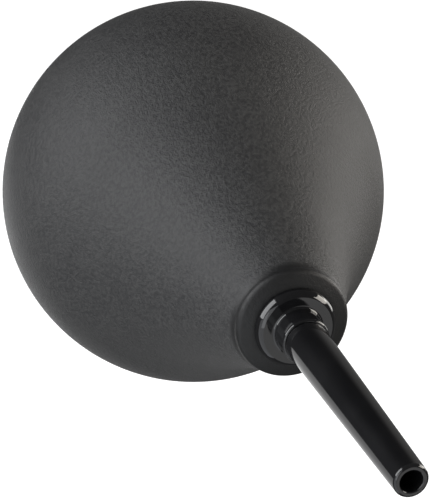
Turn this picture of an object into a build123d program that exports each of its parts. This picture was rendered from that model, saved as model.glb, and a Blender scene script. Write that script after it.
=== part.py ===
# Dust blower bulb: a pear-shaped rubber bulb with a screw-in nozzle and an inlet valve in its base.
# Every piece is turned about the Z axis. The foot stands on Z = 0 and the nozzle points up.
import os
from math import acos, atan2, cos, hypot, radians, sin, sqrt

from build123d import *

# ---------------------------------------------------------------- driving sizes, millimetres
# Rubber bulb
bulb_radius = 30.0            # outside of the ball
bulb_wall = 2.6               # rubber thickness of the ball and of the flank
base_wall = 4.6               # rubber between the standing face and the floor of the air chamber
foot_radius = 12.0            # where the ball is cut flat to stand
foot_edge_radius = 4.0        # round from the foot into the ball
dish_margin = 2.0             # width of the shallow dish around the valve's pocket
dish_depth = 0.8
floor_corner_radius = 3.0     # round inside the air chamber, at its floor
neck_rise = 20.2              # from the top of the full ball to the face of the neck
flank_radius = 120.0          # hollow of the flank, between the ball and the neck
neck_wall = 3.45              # rubber around the neck's bore
neck_side = 0.15              # straight side of the neck, between the flank and the lip
neck_foot_radius = 1.2        # hollow round where the flank meets the neck
crown_margin = 0.2            # outside of the flange to where the neck's face starts to fall
crown_drop = 0.7              # fall of the neck's face out to its rim
crown_radius = 3.0            # round where the fall starts
lip_radius = 0.9              # round on the rim
neck_mouth_radius = 0.4       # round at the mouth of the neck's bore
neck_depth = 11.0             # length of the neck's bore

# Collar
flange_overhang = 1.25        # stem to the outside of the flange
flange_side = 0.15            # straight side under the dome of the flange's edge
dome_radius = 1.3             # the flange's edge curves in and up at this radius
dome_angle = 68.0             # degrees from the side to the crease at the flat face
flange_under_radius = 0.1     # round on the flange's lower edge
face_corner_radius = 0.45     # hollow round where the face meets the boss
boss_wall = 0.66              # plastic around the socket
boss_height = 3.61            # face of the flange to the top of the boss
boss_edge_radius = 0.3
stem_radius = 4.5
stem_wall = 1.5
barb_step = 1.0               # barb beyond the stem, on radius
barb_length = 2.6
barb_nose_step = 0.3          # nose of the barb inside the stem's radius
socket_depth = 7.5            # top of the boss to the floor that the seal lies on
socket_web = 1.6              # plastic left under the socket's floor
passage_radius = 1.6          # air passage through that web

# Nozzle
tube_length = 37.9            # shoulder to the tip
shoulder_width = 0.41         # crests of the thread to the outside of the tube
tube_tip_radius = 2.24
tube_bore_radius = 1.45
tube_foot_radius = 0.2        # round at the shoulder
tip_edge_radius = 0.45
tip_mouth_radius = 0.2
thread_radius = 2.6           # over the crests
thread_depth = 0.35
thread_pitch = 1.0
thread_turns = 4.5

# Seal
seal_section_radius = 0.45
seal_clearance = 0.15         # ring to the wall of the socket, on radius

# Inlet valve
plug_wall = 1.0               # hub of the valve body, around its chamber
plug_lip_height = 0.8         # step of the snap lip out from the hub
plug_lip_length = 0.7
plug_lip_taper = 0.9
valve_flange_overhang = 2.5   # hub to the outside of the valve's flange
valve_flange_thickness = 1.2
valve_flange_edge = 0.3
recess_depth = 1.4            # pocket for the flange, up from the dish
chamber_radius = 3.4
chamber_sink = 1.2            # chamber floor below the floor of the air chamber
seat_ring_radius = 2.1        # centre line of the raised seat
seat_width = 0.5
seat_height = 0.3
inlet_hole_radius = 0.4
inlet_hole_circle = 1.15
inlet_hole_count = 6
disc_clearance = 0.65         # disc to the wall of its chamber, on radius
disc_thickness = 0.5
disc_lift = 1.0
cage_thickness = 1.0
cage_ring_width = 0.55
cage_hub_radius = 0.8
cage_spoke_width = 0.8
cage_spoke_count = 3

# Clearances
neck_clearance = 0.1          # stem to the neck's bore, on radius
seat_gap = 0.05               # flange to neck, and nozzle shoulder to boss
barb_gap = 0.2                # barb to the shoulder inside the neck
thread_clearance = 0.06       # crests to the socket, on radius
recess_clearance = 0.1        # valve flange to its pocket, on radius
stack_gap = 0.02              # between pieces that lie on one another

# ---------------------------------------------------------------- places that follow from them
ball_centre = sqrt(bulb_radius**2 - foot_radius**2)
neck_face = ball_centre + bulb_radius + neck_rise
neck_bore_radius = stem_radius + neck_clearance
neck_radius = neck_bore_radius + neck_wall
neck_shoulder = neck_face - neck_depth
plug_radius = chamber_radius + plug_wall
valve_flange_radius = plug_radius + valve_flange_overhang
recess_radius = valve_flange_radius + recess_clearance
dish_radius = recess_radius + dish_margin
recess_top = dish_depth + recess_depth

# The flank is one hollow arc, tangent to the ball, that ends at the side of the neck.
neck_rim = neck_face - crown_drop
flank_end = neck_rim - lip_radius - neck_side
end_reach = hypot(neck_radius, flank_end - ball_centre)
end_angle = atan2(flank_end - ball_centre, neck_radius)
flank_reach = bulb_radius + flank_radius
swing = acos((flank_reach**2 + end_reach**2 - flank_radius**2) / (2 * flank_reach * end_reach))
flank_centre_x = flank_reach * cos(end_angle - swing)
flank_centre_z = ball_centre + flank_reach * sin(end_angle - swing)

flange_radius = stem_radius + flange_overhang
flange_bottom = neck_face + seat_gap
crown_start = flange_radius + crown_margin
dome_bottom = flange_bottom + flange_side
dome_centre_x = flange_radius - dome_radius
dome_middle_x = dome_centre_x + dome_radius * cos(radians(dome_angle / 2))
dome_middle_z = dome_bottom + dome_radius * sin(radians(dome_angle / 2))
face_radius = dome_centre_x + dome_radius * cos(radians(dome_angle))
flange_face = dome_bottom + dome_radius * sin(radians(dome_angle))
boss_top = flange_face + boss_height
socket_radius = thread_radius + thread_clearance
boss_radius = socket_radius + boss_wall
socket_floor = boss_top - socket_depth
stem_bore_radius = stem_radius - stem_wall
barb_top = neck_shoulder - barb_gap
barb_radius = stem_radius + barb_step
barb_nose_radius = stem_radius - barb_nose_step
stem_end = barb_top - barb_length

seal_ring_radius = socket_radius - seal_clearance - seal_section_radius
seal_bottom = socket_floor + stack_gap
seal_top = seal_bottom + 2 * seal_section_radius
nozzle_root = seal_top + stack_gap
nozzle_shoulder = boss_top + seat_gap
nozzle_tip = nozzle_shoulder + tube_length
tube_base_radius = thread_radius + shoulder_width
root_radius = thread_radius - thread_depth
thread_start = nozzle_root + thread_pitch

valve_bottom = recess_top - valve_flange_thickness
plug_lip_radius = plug_radius + plug_lip_height
plug_lip_top = base_wall + plug_lip_length
chamber_floor = base_wall - chamber_sink
seat_top = chamber_floor + seat_height
disc_radius = chamber_radius - disc_clearance
disc_bottom = seat_top + stack_gap
disc_top = disc_bottom + disc_thickness
cage_bottom = disc_top + disc_lift + stack_gap
cage_top = cage_bottom + cage_thickness

os.makedirs("parts", exist_ok=True)


def on_ball(radius, x, z):    # point at this radius from the ball's centre, towards the point (x, z)
    reach = hypot(x, z - ball_centre)
    return (x * radius / reach, ball_centre + (z - ball_centre) * radius / reach)


# ---------------------------------------------------------------- bulb
inner_radius = bulb_radius - bulb_wall
inner_flank_radius = flank_radius + bulb_wall
outer_tangent = on_ball(bulb_radius, flank_centre_x, flank_centre_z)
inner_tangent = on_ball(inner_radius, flank_centre_x, flank_centre_z)
shoulder_outer_x = flank_centre_x - sqrt(inner_flank_radius**2 - (flank_centre_z - neck_shoulder)**2)
floor_radius = sqrt(inner_radius**2 - (ball_centre - base_wall)**2)

with BuildPart() as bulb:
    with BuildSketch(Plane.XZ):
        with BuildLine():
            Polyline((plug_radius, recess_top), (recess_radius, recess_top), (recess_radius, dish_depth),
                     (dish_radius, dish_depth), (dish_radius + dish_depth, 0), (foot_radius, 0))
            ThreePointArc((foot_radius, 0), (bulb_radius, ball_centre), outer_tangent)
            RadiusArc(outer_tangent, (neck_radius, flank_end), flank_radius)
            Polyline((neck_radius, flank_end), (neck_radius, neck_rim), (crown_start, neck_face),
                     (neck_bore_radius, neck_face), (neck_bore_radius, neck_shoulder),
                     (shoulder_outer_x, neck_shoulder))
            RadiusArc((shoulder_outer_x, neck_shoulder), inner_tangent, -inner_flank_radius)
            ThreePointArc(inner_tangent, (inner_radius, ball_centre), (floor_radius, base_wall))
            Polyline((floor_radius, base_wall), (plug_radius, base_wall), (plug_radius, recess_top))
        make_face()
        fillet(vertices().sort_by_distance((foot_radius, 0))[0], radius=foot_edge_radius)
        fillet(vertices().sort_by_distance((neck_radius, flank_end))[0], radius=neck_foot_radius)
        fillet(vertices().sort_by_distance((neck_radius, neck_rim))[0], radius=lip_radius)
        fillet(vertices().sort_by_distance((crown_start, neck_face))[0], radius=crown_radius)
        fillet(vertices().sort_by_distance((neck_bore_radius, neck_face))[0], radius=neck_mouth_radius)
        fillet(vertices().sort_by_distance((floor_radius, base_wall))[0], radius=floor_corner_radius)
    revolve(axis=Axis.Z)
bulb.part.label = "bulb"
export_step(bulb.part, "parts/bulb.step")

# ---------------------------------------------------------------- collar
# Flange with a domed edge and a boss on top, stem and barb below, turned in one piece.
with BuildPart() as collar:
    with BuildSketch(Plane.XZ):
        with BuildLine():
            Polyline((0, stem_end), (barb_nose_radius, stem_end), (barb_radius, barb_top),
                     (stem_radius, barb_top), (stem_radius, flange_bottom),
                     (flange_radius, flange_bottom), (flange_radius, dome_bottom))
            ThreePointArc((flange_radius, dome_bottom), (dome_middle_x, dome_middle_z),
                          (face_radius, flange_face))
            Polyline((face_radius, flange_face), (boss_radius, flange_face), (boss_radius, boss_top),
                     (0, boss_top), (0, stem_end))
        make_face()
        fillet(vertices().sort_by_distance((flange_radius, flange_bottom))[0],
               radius=flange_under_radius)
        fillet(vertices().sort_by_distance((boss_radius, flange_face))[0], radius=face_corner_radius)
        fillet(vertices().sort_by_distance((boss_radius, boss_top))[0], radius=boss_edge_radius)
    revolve(axis=Axis.Z)
    with BuildSketch(Plane.XY.offset(boss_top)):
        Circle(socket_radius)
    extrude(amount=-socket_depth, mode=Mode.SUBTRACT)
    with BuildSketch(Plane.XY.offset(stem_end)):
        Circle(passage_radius)
    extrude(amount=socket_floor - stem_end, mode=Mode.SUBTRACT)
    with BuildSketch(Plane.XY.offset(stem_end)):
        Circle(stem_bore_radius)
    extrude(amount=socket_floor - socket_web - stem_end, mode=Mode.SUBTRACT)
collar.part.label = "collar"
export_step(collar.part, "parts/collar.step")

# ---------------------------------------------------------------- nozzle seal
with BuildPart() as nozzle_seal:
    with BuildSketch(Plane.XZ):
        with Locations((seal_ring_radius, seal_bottom + seal_section_radius)):
            Circle(seal_section_radius)
    revolve(axis=Axis.Z)
nozzle_seal.part.label = "nozzle_seal"
export_step(nozzle_seal.part, "parts/nozzle_seal.step")

# ---------------------------------------------------------------- nozzle
# Tapered tube with one straight bore. Its threaded root fills the collar's socket down to the seal.
with BuildPart() as nozzle:
    with BuildSketch(Plane.XZ):
        with BuildLine():
            Polyline((tube_bore_radius, nozzle_root), (root_radius, nozzle_root),
                     (root_radius, nozzle_shoulder), (tube_base_radius, nozzle_shoulder),
                     (tube_tip_radius, nozzle_tip),
                     (tube_bore_radius, nozzle_tip), (tube_bore_radius, nozzle_root))
        make_face()
        fillet(vertices().sort_by_distance((tube_base_radius, nozzle_shoulder))[0], radius=tube_foot_radius)
        fillet(vertices().sort_by_distance((tube_tip_radius, nozzle_tip))[0], radius=tip_edge_radius)
        fillet(vertices().sort_by_distance((tube_bore_radius, nozzle_tip))[0], radius=tip_mouth_radius)
    revolve(axis=Axis.Z)
    # The ridge of the thread is a wedge swept along a helix, sunk a little into the root.
    with BuildLine(Plane.XY.offset(thread_start)):
        Helix(pitch=thread_pitch, height=thread_pitch * thread_turns, radius=root_radius)
    with BuildSketch(Plane.XZ):
        with BuildLine():
            Polyline((root_radius - 0.1, thread_start - thread_pitch * 0.36),
                     (thread_radius, thread_start - thread_pitch * 0.08),
                     (thread_radius, thread_start + thread_pitch * 0.08),
                     (root_radius - 0.1, thread_start + thread_pitch * 0.36), close=True)
        make_face()
    sweep(is_frenet=True)
nozzle.part.label = "nozzle"
export_step(nozzle.part, "parts/nozzle.step")

# ---------------------------------------------------------------- inlet valve
with BuildPart() as valve_body:
    with BuildSketch(Plane.XZ):
        with BuildLine():
            Polyline((0, valve_bottom), (valve_flange_radius, valve_bottom),
                     (valve_flange_radius, recess_top), (plug_radius, recess_top),
                     (plug_radius, base_wall), (plug_lip_radius, base_wall),
                     (plug_lip_radius, plug_lip_top), (plug_radius, plug_lip_top + plug_lip_taper),
                     (plug_radius, cage_top), (chamber_radius, cage_top),
                     (chamber_radius, chamber_floor), (0, chamber_floor), (0, valve_bottom))
        make_face()
        fillet(vertices().sort_by_distance((valve_flange_radius, valve_bottom))[0], radius=valve_flange_edge)
    revolve(axis=Axis.Z)
    with BuildSketch(Plane.XY.offset(chamber_floor)):
        Circle(seat_ring_radius + seat_width / 2)
        Circle(seat_ring_radius - seat_width / 2, mode=Mode.SUBTRACT)
    extrude(amount=seat_height)
    with Locations((0, 0, chamber_floor)):
        with PolarLocations(inlet_hole_circle, inlet_hole_count):
            Hole(inlet_hole_radius)
valve_body.part.label = "valve_body"
export_step(valve_body.part, "parts/valve_body.step")

with BuildPart() as valve_disc:
    with BuildSketch(Plane.XY.offset(disc_bottom)):
        Circle(disc_radius)
    extrude(amount=disc_thickness)
    fillet(valve_disc.edges(), radius=disc_thickness / 5)
valve_disc.part.label = "valve_disc"
export_step(valve_disc.part, "parts/valve_disc.step")

# Ring with spokes that holds the disc in its chamber and lets air past it.
with BuildPart() as valve_cage:
    with BuildSketch(Plane.XY.offset(cage_bottom)):
        Circle(chamber_radius)
        Circle(chamber_radius - cage_ring_width, mode=Mode.SUBTRACT)
        Circle(cage_hub_radius)
        with PolarLocations(0, cage_spoke_count):
            Rectangle(chamber_radius - cage_ring_width / 2, cage_spoke_width,
                      align=(Align.MIN, Align.CENTER))
    extrude(amount=cage_thickness)
valve_cage.part.label = "valve_cage"
export_step(valve_cage.part, "parts/valve_cage.step")
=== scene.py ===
import math
import bmesh
import bpy
from mathutils import Matrix, Vector


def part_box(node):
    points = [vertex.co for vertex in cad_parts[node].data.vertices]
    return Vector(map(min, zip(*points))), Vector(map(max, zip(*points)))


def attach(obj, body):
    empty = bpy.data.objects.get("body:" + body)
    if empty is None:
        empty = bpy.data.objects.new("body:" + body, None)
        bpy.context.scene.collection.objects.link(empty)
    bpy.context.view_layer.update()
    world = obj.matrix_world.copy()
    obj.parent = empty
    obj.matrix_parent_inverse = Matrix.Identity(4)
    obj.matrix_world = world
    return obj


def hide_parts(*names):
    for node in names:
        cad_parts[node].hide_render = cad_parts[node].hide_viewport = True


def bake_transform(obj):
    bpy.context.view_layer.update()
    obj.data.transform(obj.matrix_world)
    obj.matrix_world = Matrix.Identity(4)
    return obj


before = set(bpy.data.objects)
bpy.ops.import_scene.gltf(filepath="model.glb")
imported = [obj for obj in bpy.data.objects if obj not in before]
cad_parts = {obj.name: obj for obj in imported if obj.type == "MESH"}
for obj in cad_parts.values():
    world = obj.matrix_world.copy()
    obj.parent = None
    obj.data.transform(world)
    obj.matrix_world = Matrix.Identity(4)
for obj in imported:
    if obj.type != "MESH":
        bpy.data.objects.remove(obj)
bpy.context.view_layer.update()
mm = 0.001
mergeDistance = 1e-7


# Outlines of the turned pieces are lists of (radius, height) in millimetres.

def arcPoints(centre, radius, start, end, count):
    step = (end - start) / count
    angles = [math.radians(start + step * i) for i in range(count + 1)]
    return [(centre[0] + radius * math.cos(a), centre[1] + radius * math.sin(a)) for a in angles]


def roundedCorner(before, corner, after, radius, count):   # the arc that replaces one sharp corner
    a = (Vector(before) - Vector(corner)).normalized()
    b = (Vector(after) - Vector(corner)).normalized()
    half = a.angle(b) / 2
    centre = Vector(corner) + (a + b).normalized() * (radius / math.sin(half))
    first = Vector(corner) + a * (radius / math.tan(half)) - centre
    last = Vector(corner) + b * (radius / math.tan(half)) - centre
    turn = first.angle_signed(last)
    points = []
    for i in range(count + 1):
        angle = -turn * i / count
        points.append((centre.x + first.x * math.cos(angle) - first.y * math.sin(angle),
                       centre.y + first.x * math.sin(angle) + first.y * math.cos(angle)))
    return points


def closedOutline(corners, count, support=0.05):
    # corners are (radius, height, rounding); long straight runs get a support ring near each end
    points = []
    for i, (x, z, rounding) in enumerate(corners):
        before, after = corners[i - 1][:2], corners[(i + 1) % len(corners)][:2]
        points += roundedCorner(before, (x, z), after, rounding, count) if rounding else [(x, z)]
    dense = []
    for i, p in enumerate(points):
        q = points[(i + 1) % len(points)]
        dense.append(p)
        length = math.dist(p, q)
        if length > 4 * support:
            for share in (support / length, 1 - support / length):
                dense.append((p[0] + (q[0] - p[0]) * share, p[1] + (q[1] - p[1]) * share))
    return dense


def turnedPiece(name, outline, around):     # spins a closed outline that keeps clear of the axis
    count = len(outline)
    verts, faces = [], []
    for i in range(around):
        angle = 2 * math.pi * i / around
        verts += [(r * mm * math.cos(angle), r * mm * math.sin(angle), z * mm) for r, z in outline]
    for i in range(around):
        here, there = i * count, (i + 1) % around * count
        for k in range(count):
            after = (k + 1) % count
            faces.append((here + k, there + k, there + after, here + after))
    mesh = bpy.data.meshes.new(name)
    mesh.from_pydata(verts, [], faces)
    shape = bmesh.new()
    shape.from_mesh(mesh)
    bmesh.ops.remove_doubles(shape, verts=shape.verts, dist=mergeDistance)
    bmesh.ops.recalc_face_normals(shape, faces=shape.faces)
    shape.to_mesh(mesh)
    shape.free()
    mesh.polygons.foreach_set("use_smooth", [True] * len(mesh.polygons))
    piece = bpy.data.objects.new(name, mesh)
    bpy.context.scene.collection.objects.link(piece)
    return piece


def storeRestPlace(piece):     # each point's place at rest, so that the grain stays put on a squeezed wall
    places = piece.data.attributes.new("restPlace", "FLOAT_VECTOR", "POINT")
    places.data.foreach_set("vector", [c for v in piece.data.vertices for c in v.co])


# One output of a shader node. Arithmetic on it adds Math nodes to the same tree.

class Flow:
    def __init__(self, tree, socket=None):
        self.tree = tree
        self.socket = socket

    def feed(self, target, value):
        if isinstance(value, Flow):
            self.tree.links.new(value.socket, target)
        else:
            target.default_value = value

    # any node: its type, the output that is wanted, its settings and its sockets' values
    def node(self, kind, output, settings, values):
        made = self.tree.nodes.new(kind)
        for name, setting in settings.items():
            setattr(made, name, setting)
        for key, value in values.items():
            self.feed(made.inputs[key], value)
        return Flow(self.tree, made.outputs[output])

    def maths(self, operation, first, second=0.0, clamp=False):
        return self.node("ShaderNodeMath", 0, {"operation": operation, "use_clamp": clamp},
                         {0: first, 1: second})

    def __add__(self, other):
        return self.maths("ADD", self, other)

    def __radd__(self, other):
        return self.maths("ADD", other, self)

    def __sub__(self, other):
        return self.maths("SUBTRACT", self, other)

    def __rsub__(self, other):
        return self.maths("SUBTRACT", other, self)

    def __mul__(self, other):
        return self.maths("MULTIPLY", self, other)

    def __rmul__(self, other):
        return self.maths("MULTIPLY", other, self)

    def clamped(self):
        return self.maths("ADD", self, 0.0, True)

    def between(self, low, high):      # 0 below low, 1 above high, smooth in between
        return self.node("ShaderNodeMapRange", 0, {"interpolation_type": "SMOOTHSTEP"},
                         {"Value": self, "From Min": low, "From Max": high})

    def scaled(self, factors):      # a vector times (x, y, z)
        return self.node("ShaderNodeVectorMath", 0, {"operation": "MULTIPLY"}, {0: self, 1: factors})

    def noise(self, scale, detail, roughness):      # reads this vector as the place
        return self.node("ShaderNodeTexNoise", 0, {}, {"Vector": self, "Scale": scale, "Detail": detail,
                                                        "Roughness": roughness})

    def cells(self, scale):       # distance to the nearest of many scattered points
        return self.node("ShaderNodeTexVoronoi", 0, {"feature": "F1"}, {"Vector": self, "Scale": scale})

    def part(self, axis):
        return self.node("ShaderNodeSeparateXYZ", axis, {}, {0: self})

    def mixed(self, first, second):       # two colours, shared out by this value
        return self.node("ShaderNodeMix", 2, {"data_type": "RGBA"}, {0: self, 6: (*first, 1), 7: (*second, 1)})

    def bump(self, strength, distance):
        return self.node("ShaderNodeBump", 0, {}, {"Strength": strength, "Distance": distance, "Height": self})


def newMaterial(name, constants):
    material = bpy.data.materials.new(name)
    material.use_nodes = True
    shader = material.node_tree.nodes["Principled BSDF"]
    for key, value in constants.items():
        shader.inputs[key].default_value = value
    flow = Flow(material.node_tree)
    objectPlace = flow.node("ShaderNodeTexCoord", "Object", {}, {})
    return material, shader, flow, objectPlace


# Camera: looks at the ball from beyond the nozzle, with the nozzle pointing down to the right.
view = {
    "lens": 96.0,            # for a sensor 24 high
    "distance": 10.531,      # in ball radii, along the view axis
    "right": -0.0108,        # ball centre, as a share of that distance
    "down": -0.0291,
    "tilt": 28.86,           # degrees from the object's axis to the view axis
    "roll": 53.93,           # direction of the nozzle below the frame's horizontal
}
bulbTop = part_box("bulb")[1].z / mm
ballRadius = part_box("bulb")[1].x / mm
ballCentre = 27.495      # height of the ball's centre above the foot

tilt, roll = math.radians(view["tilt"]), math.radians(view["roll"])
flat = Vector((1, 0, 0))
rise = Vector((0, math.cos(tilt), math.sin(tilt)))
cameraRight = rise * math.cos(roll) - flat * math.sin(roll)
cameraUp = -rise * math.sin(roll) - flat * math.cos(roll)
cameraBack = Vector((0, -math.sin(tilt), math.cos(tilt)))
ballPlace = Vector((0, 0, ballCentre * mm))
reach = view["distance"] * ballRadius * mm
eye = ballPlace + (cameraBack - cameraRight * view["right"] + cameraUp * view["down"]) * reach

camera = bpy.data.objects.new("camera", bpy.data.cameras.new("camera"))
bpy.context.scene.collection.objects.link(camera)
turn = Matrix((cameraRight, cameraUp, cameraBack)).transposed().to_4x4()
camera.matrix_world = Matrix.Translation(eye) @ turn
camera.data.sensor_fit = "VERTICAL"
camera.data.sensor_height = 24.0
camera.data.lens = view["lens"]
camera.data.clip_start = 0.01
bpy.context.scene.camera = camera
print("camera placed")


# In the looks, each noise pattern is (how fine, detail, roughness of the detail), and a range is (0 at, 1 at).

# Bulb: one closed skin, outside and air chamber together.
bulbSize = {
    "wall": 2.6, "baseWall": 4.6, "footEdge": 4.0, "dishRadius": 9.0, "dishDepth": 0.8, "pocketRadius": 7.0,
    "pocketTop": 2.2, "plugRadius": 4.4, "neckRadius": 8.05, "neckSide": 0.15, "lip": 0.9, "neckFoot": 1.2,
    "crownStart": 5.95, "crownDrop": 0.7, "crown": 3.0, "flank": 120.0, "boreRadius": 4.6, "boreDepth": 11.0,
    "mouth": 0.4, "around": 192, "footSteps": 10, "ballSteps": 64, "flankSteps": 40, "cornerSteps": 6,
    "lipSteps": 12, "mouthSteps": 5, "innerFlankSteps": 30, "innerBallSteps": 40,
}


def makeBulb(s):
    flank, wall = s["flank"], s["wall"]
    rim, crown = (s["neckRadius"], bulbTop - s["crownDrop"]), (s["crownStart"], bulbTop)
    end = Vector((rim[0], rim[1] - s["lip"] - s["neckSide"] - ballCentre))
    span = ballRadius + flank
    swing = math.acos((span ** 2 + end.length ** 2 - flank ** 2) / (2 * span * end.length))
    toFlank = math.degrees(math.atan2(end.y, end.x) - swing)
    centre = (span * math.cos(math.radians(toFlank)), ballCentre + span * math.sin(math.radians(toFlank)))
    endAngle = 180 + math.degrees(math.asin((centre[1] - ballCentre - end.y) / flank))
    footInner = ballRadius - s["footEdge"]
    footCentre = (math.sqrt(footInner ** 2 - (ballCentre - s["footEdge"]) ** 2), s["footEdge"])
    ballStart = math.degrees(math.atan2(footCentre[1] - ballCentre, footCentre[0]))
    shoulder = bulbTop - s["boreDepth"]
    shoulderAngle = 180 + math.degrees(math.asin((centre[1] - shoulder) / (flank + wall)))
    innerBall = ballRadius - wall
    floorAngle = math.degrees(math.asin((s["baseWall"] - ballCentre) / innerBall))
    outline = [(s["plugRadius"], s["pocketTop"]), (s["pocketRadius"], s["pocketTop"]),
               (s["pocketRadius"], s["dishDepth"]), (s["dishRadius"], s["dishDepth"]),
               (s["dishRadius"] + s["dishDepth"], 0)]
    outline += arcPoints(footCentre, s["footEdge"], -90, ballStart, s["footSteps"])
    outline += arcPoints((0, ballCentre), ballRadius, ballStart, toFlank, s["ballSteps"])[1:]
    outer = arcPoints(centre, flank, 180 + toFlank, endAngle, s["flankSteps"])
    outline += outer[1:-1]
    outline += roundedCorner(outer[-2], outer[-1], rim, s["neckFoot"], s["cornerSteps"])
    outline += roundedCorner(outer[-1], rim, crown, s["lip"], s["lipSteps"])
    outline += roundedCorner(rim, crown, (s["boreRadius"], bulbTop), s["crown"], s["cornerSteps"])
    mouthCentre = (s["boreRadius"] + s["mouth"], bulbTop - s["mouth"])
    outline += arcPoints(mouthCentre, s["mouth"], 90, 180, s["mouthSteps"])
    outline.append((s["boreRadius"], shoulder))
    outline += arcPoints(centre, flank + wall, shoulderAngle, 180 + toFlank, s["innerFlankSteps"])
    outline += arcPoints((0, ballCentre), innerBall, toFlank, floorAngle, s["innerBallSteps"])[1:]
    outline.append((s["plugRadius"], s["baseWall"]))
    return turnedPiece("rubberBulb", outline, s["around"])


rubberLook = {
    # The neck's colour is painted shade: a darker rubber colour that stands in for the shade round the flange.
    "deep": (0.012, 0.012, 0.0128), "worn": (0.04, 0.0398, 0.039), "neckPaintedShade": (0.004, 0.004, 0.0042),
    "neckShadeRange": (0.0744, 0.0757),      # heights between which the base colour darkens into the neck's painted shade round the flange, and the neck turns smoother
    "speckle": (1900.0, 3.0, 0.65), "grain": (5200.0, 2.0, 0.5), "mottle": (320.0, 4.0, 0.55),
    "smudge": (55.0, 3.0, 0.5), "speckleRange": (0.34, 0.66),
    "speckleTone": 0.65, "mottleTone": 0.3, "smudgeTone": 0.35, "toneShift": -0.22,
    "roughness": 0.6, "speckleRough": 0.3, "smudgeRough": 0.12, "mottleRough": 0.1, "neckRough": -0.06,
    "specular": 0.36, "grainShare": 0.3, "neckSmooth": 0.7, "bump": 1.0, "bumpDepth": 0.00024,
}


def makeRubber(s):
    material, shader, flow = newMaterial("rubber", {"Specular IOR Level": s["specular"]})[:3]
    place = flow.node("ShaderNodeAttribute", "Vector", {"attribute_name": "restPlace"}, {})
    speckle = place.noise(*s["speckle"])
    grain = place.noise(*s["grain"])
    mottle = place.noise(*s["mottle"])
    smudge = place.noise(*s["smudge"])
    # mask of the neck: painted shade in the base colour, and a smoother, less bumpy finish
    neck = place.part(2).between(*s["neckShadeRange"])
    tone = speckle.between(*s["speckleRange"]) * s["speckleTone"] + mottle * s["mottleTone"]
    tone = tone + smudge * s["smudgeTone"] + s["toneShift"]
    ball = tone.clamped().mixed(s["deep"], s["worn"])
    # above the neck range the base colour turns to the painted shade of the neck ring
    flow.feed(shader.inputs["Base Color"], flow.node("ShaderNodeMix", 2, {"data_type": "RGBA"}, {
        0: neck, 6: ball, 7: (*s["neckPaintedShade"], 1)}))
    rough = s["roughness"] + (speckle - 0.5) * s["speckleRough"] + (smudge - 0.5) * s["smudgeRough"]
    flow.feed(shader.inputs["Roughness"], rough + (mottle - 0.5) * s["mottleRough"] + neck * s["neckRough"])
    height = speckle * (1.0 - s["grainShare"]) + grain * s["grainShare"]
    height = height * (1.0 - neck * s["neckSmooth"])
    flow.feed(shader.inputs["Normal"], height.bump(s["bump"], s["bumpDepth"]))
    return material


rubberBulb = makeBulb(bulbSize)
storeRestPlace(rubberBulb)
rubberBulb.data.materials.append(makeRubber(rubberLook))
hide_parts("bulb")
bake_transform(rubberBulb)
print("bulb made")


# Collar: flange with a domed edge, boss on top, and a barbed stem inside the neck.
collarSize = {
    "gap": 0.05, "flangeRadius": 5.75, "side": 0.15, "dome": 1.3, "domeAngle": 68.0, "under": 0.1,
    "crease": 0.03, "faceCorner": 0.45, "bossRadius": 3.32, "bossHeight": 3.61, "bossEdge": 0.3,
    "socketRadius": 2.66, "socketDepth": 7.5, "socketEdge": 0.08, "passage": 1.6, "web": 1.6,
    "stemRadius": 4.5, "stemBore": 3.0, "barbRadius": 5.5, "barbEdge": 0.15, "barbLength": 2.6,
    "barbGap": 0.2, "noseRadius": 4.2, "noseEdge": 0.2,
    "around": 160, "domeSteps": 16, "cornerSteps": 8,
}


def makeCollar(s):
    under = bulbTop + s["gap"]
    domeCentre = (s["flangeRadius"] - s["dome"], under + s["side"])
    dome = arcPoints(domeCentre, s["dome"], 0, s["domeAngle"], s["domeSteps"])
    faceEdge, face = dome[-1]
    bossTop = face + s["bossHeight"]
    floor = bossTop - s["socketDepth"]
    barbTop = bulbTop - bulbSize["boreDepth"] - s["barbGap"]
    end = barbTop - s["barbLength"]
    corners = [(s["stemBore"], end, 0), (s["noseRadius"], end, s["noseEdge"]),
               (s["barbRadius"], barbTop, s["barbEdge"]), (s["stemRadius"], barbTop, 0),
               (s["stemRadius"], under, 0), (s["flangeRadius"], under, s["under"]),
               *[(r, z, 0) for r, z in dome[:-1]], (faceEdge, face, s["crease"]),
               (s["bossRadius"], face, s["faceCorner"]), (s["bossRadius"], bossTop, s["bossEdge"]),
               (s["socketRadius"], bossTop, s["socketEdge"]), (s["socketRadius"], floor, 0),
               (s["passage"], floor, 0), (s["passage"], floor - s["web"], 0),
               (s["stemBore"], floor - s["web"], 0)]
    return turnedPiece("collarMoulding", closedOutline(corners, s["cornerSteps"]), s["around"])


glossLook = {
    "deep": (0.0045, 0.0045, 0.005), "pale": (0.008, 0.008, 0.0085), "specular": 0.5,
    "haze": (130.0, 3.0, 0.5), "swell": (260.0, 2.0, 0.5),
    "streak": (1.0, 2.0, 0.5), "streakStretch": (900.0, 900.0, 60.0),      # long along the tube
    "dust": 900.0, "dustRange": (0.04, 0.12), "hazeShare": 0.6, "toneRange": (0.3, 0.75),
    "roughness": 0.055, "hazeRange": (0.45, 0.75), "hazeRough": 0.05, "streakRough": 0.03, "dustRough": 0.05,
    "streakHeight": 0.2, "bump": 0.12, "bumpDepth": 0.00003,
}


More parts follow.
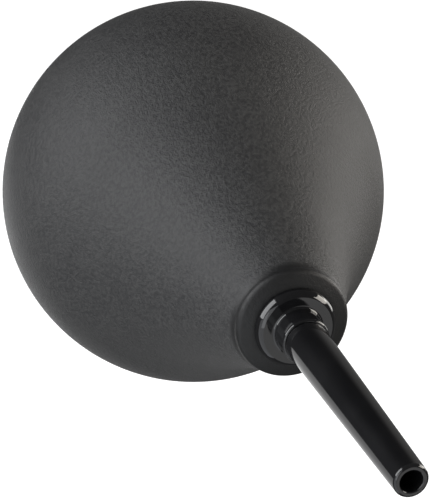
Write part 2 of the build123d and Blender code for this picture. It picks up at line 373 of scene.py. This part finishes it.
def makeGloss(name, s, streakStrength):
    material, shader, flow, place = newMaterial(name, {"Specular IOR Level": s["specular"]})
    haze = place.noise(*s["haze"])
    streaks = place.scaled(s["streakStretch"]).noise(*s["streak"])
    dust = 1.0 - place.cells(s["dust"]).between(*s["dustRange"])
    tone = (haze * s["hazeShare"] + streaks * (1.0 - s["hazeShare"])).between(*s["toneRange"])
    flow.feed(shader.inputs["Base Color"], tone.mixed(s["deep"], s["pale"]))
    rough = s["roughness"] + haze.between(*s["hazeRange"]) * s["hazeRough"] + dust * s["dustRough"]
    flow.feed(shader.inputs["Roughness"], rough + streaks * (streakStrength * s["streakRough"]))
    height = place.noise(*s["swell"]) + streaks * (streakStrength * s["streakHeight"])
    flow.feed(shader.inputs["Normal"], height.bump(s["bump"], s["bumpDepth"]))
    return material


collarMoulding = makeCollar(collarSize)
collarMoulding.data.materials.append(makeGloss("collarGloss", glossLook, streakStrength=0.2))
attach(collarMoulding, "collar")
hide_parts("collar")
print("collar made")


# Nozzle: tapered tube, turned, with the ridge of its thread wound on by Geometry Nodes.
nozzleLow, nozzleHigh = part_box("nozzle")
nozzleSize = {
    "length": 37.9, "baseRadius": 3.01, "tipRadius": 2.24, "bore": 1.45, "foot": 0.2, "tipEdge": 0.45,
    "tipMouth": 0.2, "rootRadius": 2.25, "around": 128, "cornerSteps": 10,
}
threadSize = {
    "Crest Radius": 2.6, "Root Radius": 2.25, "Pitch": 1.0, "Turns": 4.5, "Foot Width": 0.56,
    "Crest Width": 0.16, "Sink": 0.1,
}
threadSteps = 64      # points in each turn of the ridge


def makeTube(s):
    root, tip = nozzleLow.z / mm, nozzleHigh.z / mm
    shoulder = tip - s["length"]
    corners = [(s["bore"], root, 0), (s["rootRadius"], root, 0), (s["rootRadius"], shoulder, 0),
               (s["baseRadius"], shoulder, s["foot"]), (s["tipRadius"], tip, s["tipEdge"]),
               (s["bore"], tip, s["tipMouth"])]
    return turnedPiece("nozzleTube", closedOutline(corners, s["cornerSteps"]), s["around"])


def threadTree(material, start):      # winds a wedge along a helix and joins it to the tube
    tree = bpy.data.node_groups.new("threadRidge", "GeometryNodeTree")
    tree.interface.new_socket("Geometry", in_out="INPUT", socket_type="NodeSocketGeometry")
    tree.interface.new_socket("Geometry", in_out="OUTPUT", socket_type="NodeSocketGeometry")
    for name in threadSize:
        tree.interface.new_socket(name, in_out="INPUT", socket_type="NodeSocketFloat")
    flow = Flow(tree)
    group = tree.nodes.new("NodeGroupInput")
    given = {name: Flow(tree, group.outputs[name]) for name in threadSize}
    crest, root = given["Crest Radius"], given["Root Radius"] - given["Sink"]
    middle = (crest + root) * 0.5
    helix = flow.node("GeometryNodeCurveSpiral", 0, {}, {
        "Resolution": threadSteps, "Rotations": given["Turns"], "Start Radius": middle * mm,
        "End Radius": middle * mm, "Height": given["Pitch"] * given["Turns"] * mm, "Reverse": True})
    upright = flow.node("GeometryNodeSetCurveNormal", 0, {}, {"Curve": helix})
    upright.socket.node.mode = "Z_UP"
    wedge = flow.node("GeometryNodeCurvePrimitiveQuadrilateral", 0, {"mode": "TRAPEZOID"}, {
        "Bottom Width": given["Foot Width"] * mm, "Top Width": given["Crest Width"] * mm,
        "Height": (crest - root) * mm, "Offset": 0.0})
    turned = flow.node("GeometryNodeTransform", 0, {}, {"Geometry": wedge, "Rotation": (0, 0, math.pi / 2)})
    ridge = flow.node("GeometryNodeCurveToMesh", 0, {}, {
        "Curve": upright, "Profile Curve": turned, "Fill Caps": True})
    raised = flow.node("GeometryNodeTransform", 0, {}, {"Geometry": ridge, "Translation": (0, 0, start * mm)})
    joined = tree.nodes.new("GeometryNodeJoinGeometry")
    tree.links.new(raised.socket, joined.inputs[0])
    tree.links.new(group.outputs["Geometry"], joined.inputs[0])
    real = flow.node("GeometryNodeRealizeInstances", 0, {}, {"Geometry": Flow(tree, joined.outputs[0])})
    coloured = flow.node("GeometryNodeSetMaterial", 0, {}, {"Geometry": real, "Material": material})
    tree.links.new(coloured.socket, tree.nodes.new("NodeGroupOutput").inputs[0])
    return tree


def growThread(piece, material, start):
    tree = threadTree(material, start)
    modifier = piece.modifiers.new("thread", "NODES")
    modifier.node_group = tree
    for item in tree.interface.items_tree:
        if item.name in threadSize:
            modifier[item.identifier] = threadSize[item.name]
    seen = piece.evaluated_get(bpy.context.evaluated_depsgraph_get())
    mesh = bpy.data.meshes.new_from_object(seen)
    piece.modifiers.clear()
    piece.data = mesh
    spread = [math.hypot(v.co.x, v.co.y) / mm for v in mesh.vertices]
    print("thread grown:", len(mesh.polygons), "faces, widest", round(max(spread), 3))


nozzleGloss = makeGloss("nozzleGloss", glossLook, streakStrength=1.0)
nozzleTube = makeTube(nozzleSize)
growThread(nozzleTube, nozzleGloss, nozzleLow.z / mm + threadSize["Pitch"])
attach(nozzleTube, "nozzle")
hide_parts("nozzle")
print("nozzle made")


# Materials of the seal and of the inlet valve, whose shapes come from the frame.
sealLook = {
    "deep": (0.008, 0.008, 0.008), "pale": (0.016, 0.016, 0.016), "roughness": 0.42, "specular": 0.45,
    "cloud": (270.0, 3.0, 0.5), "fine": (3600.0, 3.0, 0.6), "cloudShare": 0.7, "toneRange": (0.3, 0.7),
    "fineRough": 0.15, "cloudRough": 0.1, "bump": 0.25, "bumpDepth": 0.00003,
}
discLook = {      # the seal's look, paler and coarser
    **sealLook, "deep": (0.25, 0.235, 0.215), "pale": (0.36, 0.34, 0.31), "roughness": 0.4,
    "cloud": (210.0, 3.0, 0.5), "fine": (2800.0, 3.0, 0.6),
}
valveLook = {
    "deep": (0.011, 0.011, 0.0115), "pale": (0.02, 0.02, 0.02), "roughness": 0.38, "specular": 0.5,
    "spark": (4200.0, 3.0, 0.6), "cloud": (260.0, 3.0, 0.5), "rings": 420.0, "ringWaver": 0.4,
    "cloudShare": 0.6, "toneRange": (0.3, 0.7), "sparkRough": 0.2, "cloudRough": 0.1, "ringShare": 0.2,
    "bump": 0.3, "bumpDepth": 0.00004,
}


def makeSoft(name, s):      # seal and disc
    material, shader, flow, place = newMaterial(name, {"Specular IOR Level": s["specular"]})
    cloud = place.noise(*s["cloud"])
    fine = place.noise(*s["fine"])
    tone = (cloud * s["cloudShare"] + fine * (1.0 - s["cloudShare"])).between(*s["toneRange"])
    flow.feed(shader.inputs["Base Color"], tone.mixed(s["deep"], s["pale"]))
    rough = s["roughness"] + (fine - 0.5) * s["fineRough"] + (cloud - 0.5) * s["cloudRough"]
    flow.feed(shader.inputs["Roughness"], rough)
    flow.feed(shader.inputs["Normal"], fine.bump(s["bump"], s["bumpDepth"]))
    return material


def makeSatin(name, s):      # moulded valve plastic: fine spark texture and faint rings
    material, shader, flow, place = newMaterial(name, {"Specular IOR Level": s["specular"]})
    spark = place.noise(*s["spark"])
    cloud = place.noise(*s["cloud"])
    rings = flow.node("ShaderNodeTexWave", 1, {"wave_type": "RINGS", "rings_direction": "Z"},
                      {"Vector": place, "Scale": s["rings"], "Distortion": s["ringWaver"]})
    tone = (cloud * s["cloudShare"] + spark * (1.0 - s["cloudShare"])).between(*s["toneRange"])
    flow.feed(shader.inputs["Base Color"], tone.mixed(s["deep"], s["pale"]))
    rough = s["roughness"] + (spark - 0.5) * s["sparkRough"] + (cloud - 0.5) * s["cloudRough"]
    flow.feed(shader.inputs["Roughness"], rough)
    height = spark * (1.0 - s["ringShare"]) + rings * s["ringShare"]
    flow.feed(shader.inputs["Normal"], height.bump(s["bump"], s["bumpDepth"]))
    return material


valveSatin = makeSatin("valveSatin", valveLook)
nodeLooks = {
    "nozzle_seal": makeSoft("sealRubber", sealLook),
    "valve_disc": makeSoft("discRubber", discLook),
    "valve_body": valveSatin,
    "valve_cage": valveSatin,
}
for node, look in nodeLooks.items():
    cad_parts[node].data.materials.clear()
    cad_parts[node].data.materials.append(look)
print("valve and seal painted")


# Stage: a pale floor that only the camera sees, with the soft shadow on it, and boxes of light around.
def stagePlane(name, half, place):
    mesh = bpy.data.meshes.new(name)
    corners = [(-half, -half, 0), (half, -half, 0), (half, half, 0), (-half, half, 0)]
    mesh.from_pydata(corners, [], [(0, 1, 2, 3)])
    piece = bpy.data.objects.new(name, mesh)
    piece.matrix_world = Matrix.Translation(place)
    bpy.context.scene.collection.objects.link(piece)
    return piece


floorLook = {
    "half": 8.0, "glow": 0.86, "deep": (0.4, 0.4, 0.4), "pale": (0.42, 0.42, 0.42),
    "grain": (60.0, 3.0, 0.5), "roughness": 0.9, "specular": 0.1,
}


def makeFloor(s):
    floor = stagePlane("floor", s["half"], (0, 0, 0))
    paint, shader, flow, place = newMaterial("floorPaint", {
        "Roughness": s["roughness"], "Specular IOR Level": s["specular"], "Emission Color": (1, 1, 1, 1),
        "Emission Strength": s["glow"]})
    flow.feed(shader.inputs["Base Color"], place.noise(*s["grain"]).mixed(s["deep"], s["pale"]))
    floor.data.materials.append(paint)
    floor.visible_glossy = False
    floor.visible_diffuse = False
    floor.visible_shadow = False


makeFloor(floorLook)

worldStrength = 0.12
world = bpy.data.worlds.new("studio")
bpy.context.scene.world = world
world.use_nodes = True
world.node_tree.nodes["Background"].inputs["Color"].default_value = (1, 1, 1, 1)
world.node_tree.nodes["Background"].inputs["Strength"].default_value = worldStrength

# Each box's direction from the ball is (right, up, back) as the camera sees it. The box faces the ball.
softboxes = {
    "leftBox": {"direction": (-0.78, 0.38, 0.38), "distance": 0.8, "size": (0.7, 0.85), "radiance": 6.0,
                "colour": (0.97, 0.98, 1.0)},
    "rightBox": {"direction": (0.93, 0.3, 0.1), "distance": 0.8, "size": (0.3, 0.8), "radiance": 8.0,
                 "colour": (1.0, 0.95, 0.88)},
    "edgeBox": {"direction": (0.78, 0.3, -0.55), "distance": 0.7, "size": (0.3, 0.6), "radiance": 5.0,
                "colour": (1.0, 0.98, 0.95)},
    "frontBox": {"direction": (-0.35, -0.3, 0.9), "distance": 1.0, "size": (0.7, 0.7), "radiance": 1.6,
                 "colour": (0.95, 0.97, 1.0)},
    "lowBox": {"direction": (-0.48, -0.7, 0.48), "distance": 0.8, "size": (1.4, 0.9), "radiance": 1.25,
               "colour": (0.93, 0.96, 1.0)},
    "faceBox": {"direction": (0.5, -0.68, 0.53), "distance": 0.9, "size": (0.7, 0.7), "radiance": 1.0,
                "colour": (1, 1, 1)},
}


def makeSoftbox(name, s):
    right, up, back = s["direction"]
    toward = (cameraRight * right + cameraUp * up + cameraBack * back).normalized()
    lamp = bpy.data.lights.new(name, "AREA")
    lamp.shape = "RECTANGLE"
    lamp.size, lamp.size_y = s["size"]
    lamp.energy = s["radiance"] * math.pi * lamp.size * lamp.size_y
    lamp.color = s["colour"]
    box = bpy.data.objects.new(name, lamp)
    aim = toward.to_track_quat("Z", "Y").to_matrix().to_4x4()
    box.matrix_world = Matrix.Translation(ballPlace + toward * s["distance"]) @ aim
    bpy.context.scene.collection.objects.link(box)


for boxName, boxSize in softboxes.items():
    makeSoftbox(boxName, boxSize)

glowSize = {
    "half": 0.16, "place": (0.0, 0.0, -0.05), "strength": 3.0,
    "edgeRange": (-0.013, -0.011),                      # the sharp edge, on the +X half
    "softRange": (-0.06, 0.02), "softShare": 0.16,      # the fade, on the -X half
    "sideRange": (-0.01, 0.01), "farRange": (0.07, 0.1), "farLoss": 0.75,
}


def makeFloorGlow(s):      # a glowing card under the floor, for the bright stripe in the gloss of the tube
    card = stagePlane("floorGlow", s["half"], s["place"])
    glow, shader, flow, place = newMaterial("glow", {
        "Base Color": (0, 0, 0, 1), "Emission Strength": s["strength"]})
    side = place.part(0).between(*s["sideRange"])
    soft = place.part(1).between(*s["softRange"]) * s["softShare"]
    edge = place.part(1).between(*s["edgeRange"])
    span = flow.node("ShaderNodeVectorMath", "Value", {"operation": "LENGTH"}, {0: place})
    far = 1.0 - span.between(*s["farRange"]) * s["farLoss"]
    bright = far * (edge * side + soft * (1.0 - side))
    flow.feed(shader.inputs["Emission Color"], bright.mixed((0, 0, 0), (1, 1, 1)))
    card.data.materials.append(glow)
    card.visible_camera = False
    card.visible_shadow = False


makeFloorGlow(glowSize)
bpy.context.scene.view_settings.view_transform = "Standard"
print("stage lit")
